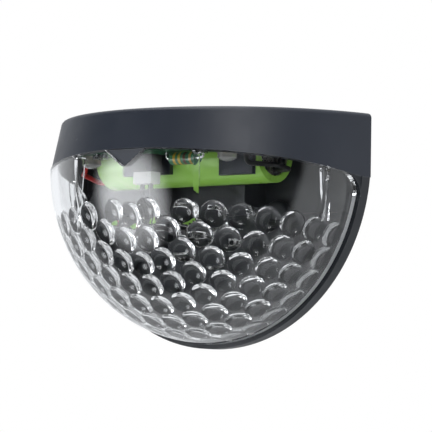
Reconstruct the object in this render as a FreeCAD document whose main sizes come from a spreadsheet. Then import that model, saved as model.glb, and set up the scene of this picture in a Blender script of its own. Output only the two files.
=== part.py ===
"""Fence light: a small solar wall light with a dimpled clear lens under a black housing.

Millimetres. X runs to the light's own left-to-right as seen from the front, -Y is the front,
+Z is up. The origin lies on the flat back, on the centre line, level with the widest part of
the lens.
"""

import FreeCAD
import Part
import Sketcher

import math
import os
import re

# Driving sizes. Every other place and size is worked out from these.
SIZES = {
    # lens: a shell turned about the front axis
    "lens_radius": 43.1,
    "lens_depth": 35.0,
    "front_bulge": 6.9,
    "lens_wall": 2.0,
    "lens_corner": 6.0,
    "dimple_radius": 9.6,
    "dimple_depth": 0.38,
    "rim_gap": 5.6,
    "ring_pitch": 5.8,
    "dimple_pitch": 6.3,
    "field_drop": 13.9,
    "rib_width": 1.4,
    "rib_depth": 2.4,
    "rib_drop": 12.0,
    "inner_rib_angle": 26.0,
    "outer_rib_angle": 76.7,
    "peg_height": 5.0,
    # back tray
    "tray_reveal": 1.1,
    "tray_thick": 3.1,
    "tray_floor": 2.2,
    "lip_gap": 0.3,
    "lip_wall": 1.2,
    "lip_height": 2.0,
    "keyhole_reach": 20.0,
    "keyhole_drop": 18.0,
    "keyhole_head": 4.0,
    "keyhole_neck": 2.0,
    "keyhole_travel": 6.0,
    # top housing
    "band_top": 11.2,
    "band_taper": 10.6,
    "band_wall": 2.0,
    "band_foot": 5.0,
    "roof_thick": 2.2,
    "edge_round": 1.2,
    "side_drop": 4.0,
    "front_rise": 1.6,
    "opening_reach": 39.2,
    "slide_gap": 0.2,
    "tab_reach": 9.0,
    "tab_drop": 4.1,
    "tab_thick": 1.2,
    "tab_set_back": 0.8,
    "notch_gap": 0.15,
    "boss_reach": 33.0,
    "boss_level": 5.8,
    "boss_radius": 3.2,
    "boss_length": 11.0,
    "boss_bore": 1.1,
    # solar panel, stacked in a recess of the roof
    "panel_long": 46.0,
    "panel_wide": 23.0,
    "panel_centre": 16.5,
    "panel_recess": 1.5,
    "panel_gap": 0.15,
    "tape_thick": 0.15,
    "backing_thick": 0.6,
    "cell_thick": 0.15,
    "cover_thick": 0.5,
    # battery
    "battery_radius": 7.05,
    "battery_long": 49.0,
    "sleeve_wall": 0.25,
    "battery_back": 11.5,
    "battery_level": 1.7,
    "cradle_gap": 0.15,
    "arm_thick": 1.2,
    # circuit board
    "board_reach": 26.0,
    "board_wide": 10.0,
    "board_thick": 1.2,
    "board_level": 1.6,
    "board_back": 20.4,
    "board_corner": 6.0,
    "board_boss_reach": 15.0,
    "board_boss_back": 27.8,
    "led_reach": 20.5,
    "led_back": 24.6,
    "wire_radius": 0.6,
    # switch
    "switch_place": 3.75,
    "switch_drop": 15.0,
    "switch_travel": 2.0,
    "switch_gap": 0.1,
    "pin_pitch": 2.5,
}

# Names that follow from the sizes. The lens outline is a front arc that runs tangent into a rim arc.
DERIVED = {
    "front_radius": "(lens_radius + front_bulge)",
    "tray_radius": "(lens_radius + tray_reveal)",
    "rim_radius": "(2*front_radius*lens_depth - lens_radius^2 - lens_depth^2)"
                  "/(2*(front_radius - lens_radius))",
    "rim_centre": "lens_radius - rim_radius",
    "join_angle": "atan(rim_centre/(front_radius - lens_depth))",
    "front_tip": "tray_thick + lens_depth",
    "part_slope": "(front_rise + side_drop)/lens_depth",
    "part_tilt": "atan(part_slope)",
    "roof_under": "band_top - roof_thick",
    "panel_floor": "band_top - panel_recess",
    "board_top": "board_level + board_thick",
    "cell_front": "battery_back + battery_radius + cradle_gap",
    # the band is lofted from an oval at its foot to part of a circle at its top
    "foot_depth": "lens_depth + (band_foot + front_rise)*tan(band_taper)",
    "foot_rim": "(2*front_radius*foot_depth - lens_radius^2 - foot_depth^2)"
                "/(2*(front_radius - lens_radius))",
    "foot_centre": "lens_radius - foot_rim",
    "foot_join": "atan(foot_centre/(front_radius - foot_depth))",
    # where a straight side from the edge of the back meets the foot oval without a kink
    "foot_touch": "acos(foot_rim/sqrt((tray_radius - foot_centre)^2 + tray_thick^2))"
                  " - atan(tray_thick/(tray_radius - foot_centre))",
    "touch_back": "tray_thick + foot_rim*sin(foot_touch)",
    "top_front": "front_tip - (band_top - front_rise)*tan(band_taper)",
    "top_radius": "(tray_radius^2 + top_front^2)/(2*top_front)",
    "top_centre": "top_radius - top_front",
}

doc = FreeCAD.newDocument("fence_light")
sheet = doc.addObject("Spreadsheet::Sheet", "Sizes")
for row, (alias, size) in enumerate(SIZES.items(), start=1):
    sheet.set("A%d" % row, alias)
    sheet.set("B%d" % row, str(size))
    sheet.setAlias("B%d" % row, alias)
doc.recompute()

nodes = {}


# ---- helpers -------------------------------------------------------------------------------

def bind(text):
    """Turn a formula in plain names into one that reads the sheet."""
    def swap(match):
        name = match.group()
        if name in DERIVED:
            return "(" + bind(DERIVED[name]) + ")"
        if name in SIZES:
            return "Sizes." + name
        return name
    return re.sub(r"[a-z][a-z_]*[a-z]", swap, str(text))


def value(text):
    """The number that a formula comes to."""
    result = sheet.evalExpression(bind(text))
    return float(getattr(result, "Value", result))


def set_place(item, x="0", y="0", z="0"):
    for axis, text in zip("xyz", (x, y, z)):
        item.setExpression("Placement.Base." + axis, bind(text))


def keep(label, item):
    """Record a finished sub-part under its node name."""
    item.Label = label
    nodes[label] = item
    return item


def new_body(name):
    return doc.addObject("PartDesign::Body", name)


def origin_part(body, role):
    for feature in body.Origin.OriginFeatures:
        if feature.Role == role:
            return feature
    raise ValueError(role)


def outline(body, name, plane, corners, arcs=None, lift="0"):
    """Closed outline on a plane of the body. arcs maps an edge to (radius, side of its centre)."""
    arcs = arcs or {}
    sketch = body.newObject("Sketcher::SketchObject", name)
    sketch.AttachmentSupport = (origin_part(body, plane), "")
    sketch.MapMode = "FlatFace"
    sketch.setExpression("AttachmentOffset.Base.z", bind(lift))
    points = [FreeCAD.Vector(value(x), value(y), 0) for x, y in corners]
    count = len(points)
    ends = []
    for index in range(count):
        start = points[index]
        stop = points[(index + 1) % count]
        if index in arcs:
            radius, side = arcs[index]
            chord = stop - start
            rise = math.sqrt(value(radius) ** 2 - (chord.Length / 2) ** 2)
            normal = FreeCAD.Vector(-chord.y, chord.x, 0).normalize()
            centre = (start + stop) * 0.5 + normal * (side * rise)
            first, last = (start, stop) if side > 0 else (stop, start)
            angles = [math.atan2(p.y - centre.y, p.x - centre.x) for p in (first, last)]
            if angles[1] < angles[0]:
                angles[1] += 2 * math.pi
            circle = Part.Circle(centre, FreeCAD.Vector(0, 0, 1), value(radius))
            edge = sketch.addGeometry(Part.ArcOfCircle(circle, angles[0], angles[1]), False)
            ends.append((1, 2) if side > 0 else (2, 1))
            bond = sketch.addConstraint(Sketcher.Constraint("Radius", edge, value(radius)))
            sketch.setExpression("Constraints[%d]" % bond, bind(radius))
        else:
            sketch.addGeometry(Part.LineSegment(start, stop), False)
            ends.append((1, 2))
    for index in range(count):
        after = (index + 1) % count
        sketch.addConstraint(
            Sketcher.Constraint("Coincident", index, ends[index][1], after, ends[after][0]))
        for kind, text in zip(("DistanceX", "DistanceY"), corners[index]):
            bond = sketch.addConstraint(
                Sketcher.Constraint(kind, -1, 1, index, ends[index][0], value(text)))
            sketch.setExpression("Constraints[%d]" % bond, bind(text))
    return sketch


def disc(body, name, plane, x, y, radius, lift="0"):
    """Circle on a plane of the body."""
    sketch = body.newObject("Sketcher::SketchObject", name)
    sketch.AttachmentSupport = (origin_part(body, plane), "")
    sketch.MapMode = "FlatFace"
    sketch.setExpression("AttachmentOffset.Base.z", bind(lift))
    centre = FreeCAD.Vector(value(x), value(y), 0)
    sketch.addGeometry(Part.Circle(centre, FreeCAD.Vector(0, 0, 1), value(radius)), False)
    for kind, text in (("DistanceX", x), ("DistanceY", y)):
        bond = sketch.addConstraint(Sketcher.Constraint(kind, -1, 1, 0, 3, value(text)))
        sketch.setExpression("Constraints[%d]" % bond, bind(text))
    bond = sketch.addConstraint(Sketcher.Constraint("Radius", 0, value(radius)))
    sketch.setExpression("Constraints[%d]" % bond, bind(radius))
    return sketch


def rectangle(x0, y0, x1, y1):
    return [(x0, y0), (x1, y0), (x1, y1), (x0, y1)]


def grow(kind, body, sketch, length, reverse=False, taper=None):
    """Pad or Pocket of a given length."""
    feature = body.newObject("PartDesign::" + kind, kind.lower() + "_" + sketch.Name)
    feature.Profile = sketch
    feature.Type = "Length"
    feature.Reversed = reverse
    feature.setExpression("Length", bind(length))
    if taper:
        feature.setExpression("TaperAngle", bind(taper))
    body.Tip = feature
    return feature


def pad(body, sketch, length, reverse=False, taper=None):
    return grow("Pad", body, sketch, length, reverse, taper)


def pocket(body, sketch, length, reverse=False, taper=None):
    return grow("Pocket", body, sketch, length, reverse, taper)


def turn(body, sketch, axis):
    """Full turn of an outline about an axis of its body."""
    feature = body.newObject("PartDesign::Revolution", "turn_" + sketch.Name)
    feature.Profile = sketch
    feature.ReferenceAxis = (origin_part(body, axis), [""])
    feature.Angle = 360
    body.Tip = feature
    return feature


def box(name, sizes, place):
    """Block given by its three sizes and its lowest corner."""
    item = doc.addObject("Part::Box", name)
    for prop, text in zip(("Length", "Width", "Height"), sizes):
        item.setExpression(prop, bind(text))
    set_place(item, *place)
    return item


def rod(name, radius, length, place, axis="z"):
    """Cylinder from its start point along +x, +y or +z."""
    item = doc.addObject("Part::Cylinder", name)
    item.setExpression("Radius", bind(radius))
    item.setExpression("Height", bind(length))
    turns = {"x": ((0, 1, 0), 90), "y": ((1, 0, 0), -90), "z": ((0, 0, 1), 0)}
    direction, angle = turns[axis]
    item.Placement = FreeCAD.Placement(
        FreeCAD.Vector(), FreeCAD.Rotation(FreeCAD.Vector(*direction), angle))
    set_place(item, *place)
    return item


def join(name, items):
    item = doc.addObject("Part::MultiFuse", name)
    item.Shapes = items
    return item


def cut(name, base, tools):
    tool = tools[0] if len(tools) == 1 else join(name + "_tools", tools)
    item = doc.addObject("Part::Cut", name)
    item.Base = base
    item.Tool = tool
    return item


def group(name, items):
    item = doc.addObject("Part::Compound", name)
    item.Links = items
    return item


def wire(name, radius, stops, bend):
    """Round wire through the stops, with every inner corner rounded by one bend radius."""
    points = [FreeCAD.Vector(*[value(text) for text in stop]) for stop in stops]
    size = value(radius)
    turn_radius = value(bend)
    edges = []
    start = points[0]
    for before, corner, after in zip(points, points[1:], points[2:]):
        arriving = (corner - before).normalize()
        leaving = (after - corner).normalize()
        swing = arriving.getAngle(leaving)
        trim = turn_radius * math.tan(swing / 2)
        arc_start = corner - arriving * trim
        arc_stop = corner + leaving * trim
        inward = (leaving - arriving).normalize()
        middle = corner + inward * (turn_radius / math.cos(swing / 2) - turn_radius)
        edges.append(Part.LineSegment(start, arc_start).toShape())
        edges.append(Part.Arc(arc_start, middle, arc_stop).toShape())
        start = arc_stop
    edges.append(Part.LineSegment(start, points[-1]).toShape())
    path = Part.Wire(edges)
    section = Part.Wire(Part.makeCircle(size, points[0], points[1] - points[0]))
    item = doc.addObject("Part::Feature", name)
    item.Shape = path.makePipeShell([section], True, False)
    expected = math.pi * size ** 2 * path.Length
    if abs(item.Shape.Volume - expected) > 0.02 * expected:
        raise ValueError("%s: volume %.3f, expected %.3f" % (name, item.Shape.Volume, expected))
    return item


# ---- the oval that lens and housing share ---------------------------------------------------

def half_oval(body, name, inset):
    """Half of the lens outline, shrunk by the inset, ready to turn about the front axis."""
    rim = "(rim_radius - %s)" % inset
    corners = [
        ("0", "-tray_thick"),
        ("lens_radius - %s" % inset, "-tray_thick"),
        ("rim_centre + %s*sin(join_angle)" % rim, "-tray_thick - %s*cos(join_angle)" % rim),
        ("0", "-front_tip + %s" % inset),
    ]
    arcs = {1: (rim, -1), 2: ("front_radius - %s" % inset, -1)}
    return outline(body, name, "XY_Plane", corners, arcs)


def band_section(body, name, inset, at_top, to_wall, level):
    """Plan outline of the band at its foot or top; to_wall runs it past the lens to the wall."""
    if at_top:
        radius = "(top_radius - %s)" % inset
        arcs = [radius, radius]
        side_y = "touch_back" if to_wall else "tray_thick"
        side_x = "sqrt(%s^2 - (%s + top_centre)^2)" % (radius, side_y)
        join_x = "(foot_centre + (foot_rim - %s)*sin(foot_join) - 1)" % inset
        join_y = "top_centre - sqrt(%s^2 - %s^2)" % (radius, join_x)
    else:
        rim = "(foot_rim - %s)" % inset
        arcs = [rim, "front_radius - %s" % inset]
        side_y = "touch_back" if to_wall else "tray_thick"
        side_x = "(lens_radius - %s)" % inset
        if to_wall:
            side_x = "(foot_centre + foot_rim*cos(foot_touch))"
        join_x = "(foot_centre + %s*sin(foot_join))" % rim
        join_y = "-tray_thick - %s*cos(foot_join)" % rim
    right = [(side_x, "-(%s)" % side_y), (join_x, join_y)]
    bends = {0: (arcs[0], -1), 1: (arcs[1], -1), 2: (arcs[0], -1)}
    if to_wall:
        right.insert(0, ("tray_radius", "0"))
        bends = {1: (arcs[0], -1), 2: (arcs[1], -1), 3: (arcs[0], -1)}
        if at_top:
            bends[0] = bends[4] = (arcs[0], -1)
    left = [("-" + x, y) for x, y in reversed(right)]
    return outline(body, name, "XY_Plane", right + left, bends, level)


def band_loft(kind, body, name, inset, to_wall, top_level):
    """Solid between the two sections of the band, or the same solid taken away."""
    foot = band_section(body, name + "_foot", inset, False, to_wall, "-band_foot")
    top = band_section(body, name + "_top", inset, True, to_wall, top_level)
    loft = body.newObject("PartDesign::" + kind, name)
    loft.Profile = top
    loft.Sections = [foot]
    loft.Ruled = True
    body.Tip = loft
    return loft


def parting_level(back):
    """Height of the sloping parting plane at a distance from the wall."""
    return "(-side_drop + part_slope*(%s - tray_thick))" % back


# ---- lens ------------------------------------------------------------------------------------

def lens_cavity():
    """Inside of the lens with a bump for each dimple, so that cutting it leaves the dimples."""
    body = new_body("lens_cavity")
    turn(body, half_oval(body, "cavity_outline", "lens_wall"), "Y_Axis")
    inner_rim = value("rim_radius - lens_wall")
    inner_front = value("front_radius - lens_wall")
    join_angle = value("join_angle")
    rim_run = inner_rim * math.radians(90 - join_angle)
    reach = "(dimple_radius - dimple_depth)"
    ring = 0
    while True:
        run = value("rim_gap") + ring * value("ring_pitch")
        if run < rim_run:
            lean = "(90 - (rim_gap + %d*ring_pitch)/(rim_radius - lens_wall)*180/pi)" % ring
            radial = "rim_centre + (rim_radius - lens_wall - %s)*sin%s" % (reach, lean)
            depth = "tray_thick + (rim_radius - lens_wall - %s)*cos%s" % (reach, lean)
            wall_radius = value("rim_centre + (rim_radius - lens_wall)*sin" + lean)
            wall_depth = value("tray_thick + (rim_radius - lens_wall)*cos" + lean)
        else:
            angle = join_angle - math.degrees((run - rim_run) / inner_front)
            lean = "(%.6f)" % angle
            if angle <= 0:
                break
            radial = "(front_radius - lens_wall - %s)*sin%s" % (reach, lean)
            depth = "front_tip - front_radius + (front_radius - lens_wall - %s)*cos%s" % (reach, lean)
            wall_radius = value("(front_radius - lens_wall)*sin" + lean)
            wall_depth = value("front_tip - front_radius + (front_radius - lens_wall)*cos" + lean)
        drop = value("field_drop") - value(parting_level(str(wall_depth)))
        if drop >= wall_radius:
            break
        start = math.degrees(math.asin(drop / wall_radius))
        span = 180 - 2 * start
        step = math.degrees(value("dimple_pitch") / wall_radius)
        count = int(round(span / step)) + 1
        ball = body.newObject("PartDesign::AdditiveSphere", "dimple_%d" % ring)
        ball.setExpression("Radius", bind("dimple_radius"))
        set_place(ball, "(%s)*cos(%.6f)" % (radial, start), "-(%s)" % depth,
                  "-(%s)*sin(%.6f)" % (radial, start))
        body.Tip = ball
        doc.recompute()
        row_of = body.newObject("PartDesign::PolarPattern", "dimple_ring_%d" % ring)
        row_of.Originals = [ball]
        row_of.Axis = (origin_part(body, "Y_Axis"), [""])
        row_of.Angle = span
        row_of.Occurrences = count
        body.Tip = row_of
        ring += 1
    return body


def rib_block(name, angle, width, outer, depth, low, high):
    """Upright block at an angle round the lens, its outer face at a distance from the centre."""
    item = doc.addObject("Part::Box", name)
    item.setExpression("Length", bind(width))
    item.setExpression("Width", bind(depth))
    item.setExpression("Height", bind("(%s) - (%s)" % (high, low)))
    item.Placement = FreeCAD.Placement(
        FreeCAD.Vector(), FreeCAD.Rotation(FreeCAD.Vector(0, 0, 1), value(angle)))
    item.setExpression("Placement.Rotation.Angle", bind(angle))
    set_place(item,
              "-%s/2*cos(%s) + (%s)*sin(%s)" % (width, angle, outer, angle),
              "-%s/2*sin(%s) - (%s)*cos(%s) - tray_thick" % (width, angle, outer, angle),
              low)
    return item


def wall_distance(angle):
    """Distance from the centre to the inside of the lens at an angle from the front."""
    half_wide = "(lens_radius - lens_wall)"
    half_deep = "(lens_depth - lens_wall)"
    return "(1/sqrt((sin(%s)/%s)^2 + (cos(%s)/%s)^2))" % (angle, half_wide, angle, half_deep)


def build_lens():
    blank = new_body("lens_blank")
    turn(blank, half_oval(blank, "lens_outline", "0"), "Y_Axis")

    # everything above the parting plane, with the rounded corner at the back
    cutter = new_body("lens_top_cutter")
    corner_back = "tray_thick + lens_corner"
    corner_level = parting_level(corner_back) + " - lens_corner/cos(part_tilt)"
    top_outline = outline(
        cutter, "lens_top_outline", "YZ_Plane",
        [
            ("0", corner_level),
            ("0", "lens_radius + 1"),
            ("-front_tip - 1", "lens_radius + 1"),
            ("-front_tip - 1", parting_level("(front_tip + 1)")),
            ("-(%s) + lens_corner*sin(part_tilt)" % corner_back,
             "%s + lens_corner*cos(part_tilt)" % corner_level),
            ("-tray_thick", corner_level),
        ],
        {4: ("lens_corner", -1)}, lift="-lens_radius - 1")
    pad(cutter, top_outline, "2*lens_radius + 2")

    # notch that takes the tab of the housing, with a rounded tip
    notch = new_body("lens_notch")
    pad(notch, tab_outline(notch, "notch_outline", "notch_gap", "front_tip - 2*lens_wall"),
        "4*lens_wall")

    cavity = lens_cavity()
    ribs = []
    pegs = []
    for side in (-1, 1):
        for which in ("inner_rib_angle", "outer_rib_angle"):
            angle = "(%d*%s)" % (side, which)
            tag = "%s_%s" % (which.split("_")[0], "right" if side > 0 else "left")
            inside = wall_distance(angle)
            ribs.append(rib_block("rib_" + tag, angle, "rib_width", inside + " + 1",
                                  "rib_depth + 1", "-rib_drop", "peg_height"))
            pegs.append(rib_block("peg_" + tag, angle, "rib_width",
                                  inside + " - rib_depth/2", "rib_depth/2",
                                  "-rib_drop/2", "peg_height"))
    hollow = cut("lens_hollow", cavity, ribs)
    shell = cut("lens_shell", blank, [hollow, cutter, notch])
    return keep("lens", join("lens_whole", [shell] + pegs))


def tab_outline(body, name, gap, lift):
    """V with a rounded tip below the front of the parting line."""
    tip_round = "(tab_drop/3)"
    slope = "atan((tab_drop + front_rise + 1)/tab_reach)"
    top = "front_rise + 1"
    tip = "(front_rise - tab_drop - %s)" % gap
    centre = "(%s + %s)" % (tip, tip_round)
    touch_x = "%s*sin(%s)" % (tip_round, slope)
    touch_y = "%s - %s*cos(%s)" % (centre, tip_round, slope)
    top_x = "(%s + ((%s) - (%s))/tan(%s))" % (touch_x, top, touch_y, slope)
    return outline(
        body, name, "XZ_Plane",
        [(touch_x, touch_y), (top_x, top), ("-" + top_x, top), ("-%s" % touch_x, touch_y)],
        {3: (tip_round, 1)}, lift=lift)


lens = build_lens()


# ---- top housing -----------------------------------------------------------------------------

def build_housing():
    body = new_body("housing_body")
    band = band_loft("AdditiveLoft", body, "band", "0", True, "band_top")
    doc.recompute()
    top_edges = []
    for index, edge in enumerate(band.Shape.Edges, start=1):
        bounds = edge.BoundBox
        if bounds.ZMin > value("band_top") - 0.01 and bounds.YMin < -0.5:
            top_edges.append("Edge%d" % index)
    rounding = body.newObject("PartDesign::Fillet", "top_round")
    rounding.Base = (band, top_edges)
    rounding.setExpression("Radius", bind("edge_round"))
    body.Tip = rounding

    wide = "lens_radius + 10"
    band_loft("SubtractiveLoft", body, "band_inside", "band_wall", False, "roof_under")
    pocket(body, outline(body, "rear_opening", "XZ_Plane",
                         rectangle("-opening_reach", "-side_drop - 1",
                                   "opening_reach", "roof_under")),
           "tray_thick + 0.1", reverse=True)
    pocket(body, outline(body, "parting_cut", "YZ_Plane",
                         [("20", "-side_drop"),
                          ("-tray_thick", "-side_drop"),
                          ("-front_tip - 5", parting_level("(front_tip + 5)")),
                          ("-front_tip - 5", "-band_foot - 5"),
                          ("20", "-band_foot - 5")],
                         lift="-(%s)" % wide),
           "2*(%s)" % wide, reverse=True)
    pad(body, tab_outline(body, "tab_plan", "0", "front_tip - tab_set_back - tab_thick"),
        "tab_thick")

    # solar recess and the slot for its wires
    half_long = "(panel_long/2 + panel_gap)"
    half_wide = "(panel_wide/2 + panel_gap)"
    pocket(body, outline(body, "panel_recess_plan", "XY_Plane",
                         rectangle("-" + half_long, "-panel_centre - " + half_wide,
                                   half_long, "-panel_centre + " + half_wide),
                         lift="panel_floor"),
           "panel_recess + 1", reverse=True)
    pocket(body, outline(body, "wire_slot", "XY_Plane",
                         rectangle("-4", "-25.4", "4", "-22.6"), lift="roof_under - 1"),
           "roof_thick + 1", reverse=True)

    # bosses for the tray screws, tied to the roof, and for the board screws
    for side, tag in ((-1, "left"), (1, "right")):
        x = "%d*boss_reach" % side
        pad(body, disc(body, "boss_" + tag, "XZ_Plane", x, "boss_level", "boss_radius",
                       lift="tray_thick"), "boss_length")
        pad(body, outline(body, "boss_web_" + tag, "XZ_Plane",
                          rectangle(x + " - boss_radius", "boss_level",
                                    x + " + boss_radius", "roof_under + 0.2"),
                          lift="tray_thick"), "boss_length")
        pocket(body, disc(body, "boss_bore_" + tag, "XZ_Plane", x, "boss_level", "boss_bore",
                          lift="tray_thick - 1"), "boss_length", reverse=True)
        x = "%d*board_boss_reach" % side
        pad(body, disc(body, "board_boss_" + tag, "XY_Plane", x, "-board_boss_back", "2.2",
                       lift="board_top"), "roof_under - board_top + 0.3")
        pocket(body, disc(body, "board_bore_" + tag, "XY_Plane", x, "-board_boss_back", "0.8",
                          lift="board_top - 1"), "5", reverse=True)

    # walls that hold the battery: two arms in front of it and one wall past each end
    arm_back = "-cell_front"
    for name, low_x, high_x, low in (("arm_left", "-14.7", "-0.3", "-3.0"),
                                     ("arm_right", "14.4", "24.3", "-3.9")):
        pad(body, outline(body, name, "XY_Plane",
                          rectangle(low_x, arm_back + " - arm_thick", high_x, arm_back),
                          lift=low), "roof_under + 0.3 - (%s)" % low)
    for side, tag in ((-1, "left"), (1, "right")):
        inner = "%d*(battery_long/2 + 2)" % side
        outer = "%d*(battery_long/2 + 2 + arm_thick)" % side
        pad(body, outline(body, "end_wall_" + tag, "XY_Plane",
                          rectangle(inner, "-cell_front", outer, "-battery_back + 5")
                          if side > 0 else
                          rectangle(outer, "-cell_front", inner, "-battery_back + 5"),
                          lift="1"), "roof_under + 0.3 - 1")
    return keep("top_housing", body)


housing = build_housing()


# ---- back tray -------------------------------------------------------------------------------

def build_tray():
    body = new_body("tray_body")
    side_x = "sqrt(tray_radius^2 - side_drop^2)"
    inner_x = "opening_reach - slide_gap"
    top = "roof_under - slide_gap"
    plate = outline(body, "tray_plate", "XZ_Plane",
                    [(side_x, "-side_drop"), (inner_x, "-side_drop"), (inner_x, top),
                     ("-(%s)" % inner_x, top), ("-(%s)" % inner_x, "-side_drop"),
                     ("-" + side_x, "-side_drop"), ("0", "-tray_radius")],
                    {5: ("tray_radius", 1), 6: ("tray_radius", 1)})
    pad(body, plate, "tray_thick")

    # shallow front pocket behind the lens
    pan_radius = "(lens_radius - lens_wall - lip_gap - lip_wall)"
    pan_x = "sqrt(%s^2 - (side_drop + 8)^2)" % pan_radius
    pocket(body, outline(body, "tray_pan", "XZ_Plane",
                         [(pan_x, "-side_drop - 8"), ("-" + pan_x, "-side_drop - 8"),
                          ("0", "-" + pan_radius)],
                         {1: (pan_radius, 1), 2: (pan_radius, 1)}, lift="tray_floor"),
           "tray_thick - tray_floor + 1", reverse=True)

    # locating lip inside the lens
    outer = "(lens_radius - lens_wall - lip_gap)"
    lip_level = "(side_drop + 8)"
    outer_x = "sqrt(%s^2 - %s^2)" % (outer, lip_level)
    pad(body, outline(body, "tray_lip", "XZ_Plane",
                      [(outer_x, "-" + lip_level), (pan_x, "-" + lip_level),
                       ("0", "-" + pan_radius),
                       ("-" + pan_x, "-" + lip_level), ("-" + outer_x, "-" + lip_level),
                       ("0", "-" + outer)],
                      {1: (pan_radius, -1), 2: (pan_radius, -1), 4: (outer, 1), 5: (outer, 1)},
                      lift="tray_thick - 0.3"),
        "lip_height + 0.3")

    # two hooks that carry the battery from below
    for side, tag in ((-1, "left"), (1, "right")):
        middle = "%d*14.5" % side
        pad(body, outline(body, "battery_shelf_" + tag, "XZ_Plane",
                          rectangle(middle + " - 1.2", "-10.5", middle + " + 1.2", "1"),
                          lift="tray_floor - 0.2"), "battery_back - tray_floor + 0.2")
    pocket(body, disc(body, "battery_seat", "YZ_Plane", "-battery_back", "battery_level",
                      "battery_radius + cradle_gap", lift="-20"), "40", reverse=True)

    # keyholes for two wall screws
    for side, tag in ((-1, "left"), (1, "right")):
        x = "%d*keyhole_reach" % side
        low = "-keyhole_drop"
        pocket(body, disc(body, "keyhole_head_" + tag, "XZ_Plane", x, low, "keyhole_head",
                          lift="-1"), "tray_thick + 2", reverse=True)
        neck_top = "(%s + keyhole_travel)" % low
        pocket(body, outline(body, "keyhole_neck_" + tag, "XZ_Plane",
                             [(x + " + keyhole_neck", low), (x + " + keyhole_neck", neck_top),
                              (x + " - keyhole_neck", neck_top), (x + " - keyhole_neck", low)],
                             {1: ("keyhole_neck + 0.001", 1)}, lift="-1"),
               "tray_thick + 2", reverse=True)

    # window and finger hollow of the switch
    middle = "-switch_place"
    pocket(body, outline(body, "switch_window", "XZ_Plane",
                         rectangle(middle + " - 2.3", "-switch_drop - 1.1",
                                   middle + " + 2.3", "-switch_drop + 1.1"), lift="-1"),
           "tray_thick + 2", reverse=True)
    pocket(body, outline(body, "finger_hollow", "XZ_Plane",
                         rectangle(middle + " - 4.5", "-switch_drop - 2.4",
                                   middle + " + 4.5", "-switch_drop + 2.4"), lift="-1"),
           "1.9", reverse=True)
    # pegs that hold the switch flange, their heads formed over it
    for side, tag in ((-1, "left"), (1, "right")):
        x = "%s + %d*6.2" % (middle, side)
        pad(body, disc(body, "switch_peg_" + tag, "XZ_Plane", x, "-switch_drop", "0.8",
                       lift="tray_floor - 0.3"), "0.7")
        pad(body, disc(body, "switch_peg_head_" + tag, "XZ_Plane", x, "-switch_drop", "1.3",
                       lift="tray_floor + 0.4"), "0.6")

    # counterbored holes of the tray screws
    for side, tag in ((-1, "left"), (1, "right")):
        x = "%d*boss_reach" % side
        pocket(body, disc(body, "screw_hole_" + tag, "XZ_Plane", x, "boss_level", "1.5",
                          lift="-1"), "tray_thick + 2", reverse=True)
        pocket(body, disc(body, "screw_sink_" + tag, "XZ_Plane", x, "boss_level", "2.7",
                          lift="-1"), "2.9", reverse=True)

    # corner pieces that fill the rounded rear corners of the lens
    skirt = new_body("corner_skirt")
    band_loft("AdditiveLoft", skirt, "skirt", "0", True, "band_top")
    pad(skirt, band_section(skirt, "skirt_foot_plan", "0", False, True, "-band_foot"),
        "lens_corner + side_drop", reverse=True)
    ring_inner = new_body("corner_ring_inner")
    turn(ring_inner, half_oval(ring_inner, "corner_inner_outline", "lens_wall"), "Y_Axis")
    ring = cut("corner_ring", skirt, [ring_inner])
    prism = new_body("corner_prism")
    corner_back = "tray_thick + lens_corner"
    corner_level = parting_level(corner_back) + " - lens_corner/cos(part_tilt)"
    prism_outline = outline(
        prism, "corner_outline", "YZ_Plane",
        [("-tray_thick", corner_level),
         ("-tray_thick", "-side_drop"),
         ("-(%s) + lens_corner*sin(part_tilt)" % corner_back,
          "%s + lens_corner*cos(part_tilt)" % corner_level)],
        {2: ("lens_corner", -1)}, lift="-lens_radius - 1")
    pad(prism, prism_outline, "2*lens_radius + 2")
    corners = doc.addObject("Part::MultiCommon", "tray_corners")
    corners.Shapes = [ring, prism]
    return keep("back_tray", join("tray_whole", [body, corners]))


tray = build_tray()


# ---- solar panel -----------------------------------------------------------------------------

def panel_layer(name, inset, low, thick):
    return box(name, ("panel_long - 2*(%s)" % inset, "panel_wide - 2*(%s)" % inset, thick),
               ("-panel_long/2 + " + inset, "-panel_centre - panel_wide/2 + " + inset, low))


tape_sheet = panel_layer("tape_sheet", "0", "panel_floor", "tape_thick")
tape_window = panel_layer("tape_window", "2", "panel_floor - 1", "tape_thick + 2")
keep("panel_adhesive", cut("panel_tape", tape_sheet, [tape_window]))
keep("solar_backing", panel_layer("backing_board", "0", "panel_floor + tape_thick",
                                  "backing_thick"))
cell_level = "panel_floor + tape_thick + backing_thick"
cells = []
CELL_COUNT = 4
for number in range(CELL_COUNT):
    strip = "(panel_long - 4)/%d" % CELL_COUNT
    cells.append(box("cell_strip_%d" % number, (strip + " - 0.4", "panel_wide - 4", "cell_thick"),
                     ("-panel_long/2 + 2 + 0.2 + %d*%s" % (number, strip),
                      "-panel_centre - panel_wide/2 + 2", cell_level)))
keep("solar_cells", group("cell_strips", cells))
cover_block = panel_layer("cover_block", "0", cell_level, "cell_thick + cover_thick")
keep("solar_cover", cut("cover_sheet", cover_block, [group("cell_room", cells)]))


# ---- battery ---------------------------------------------------------------------------------

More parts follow.
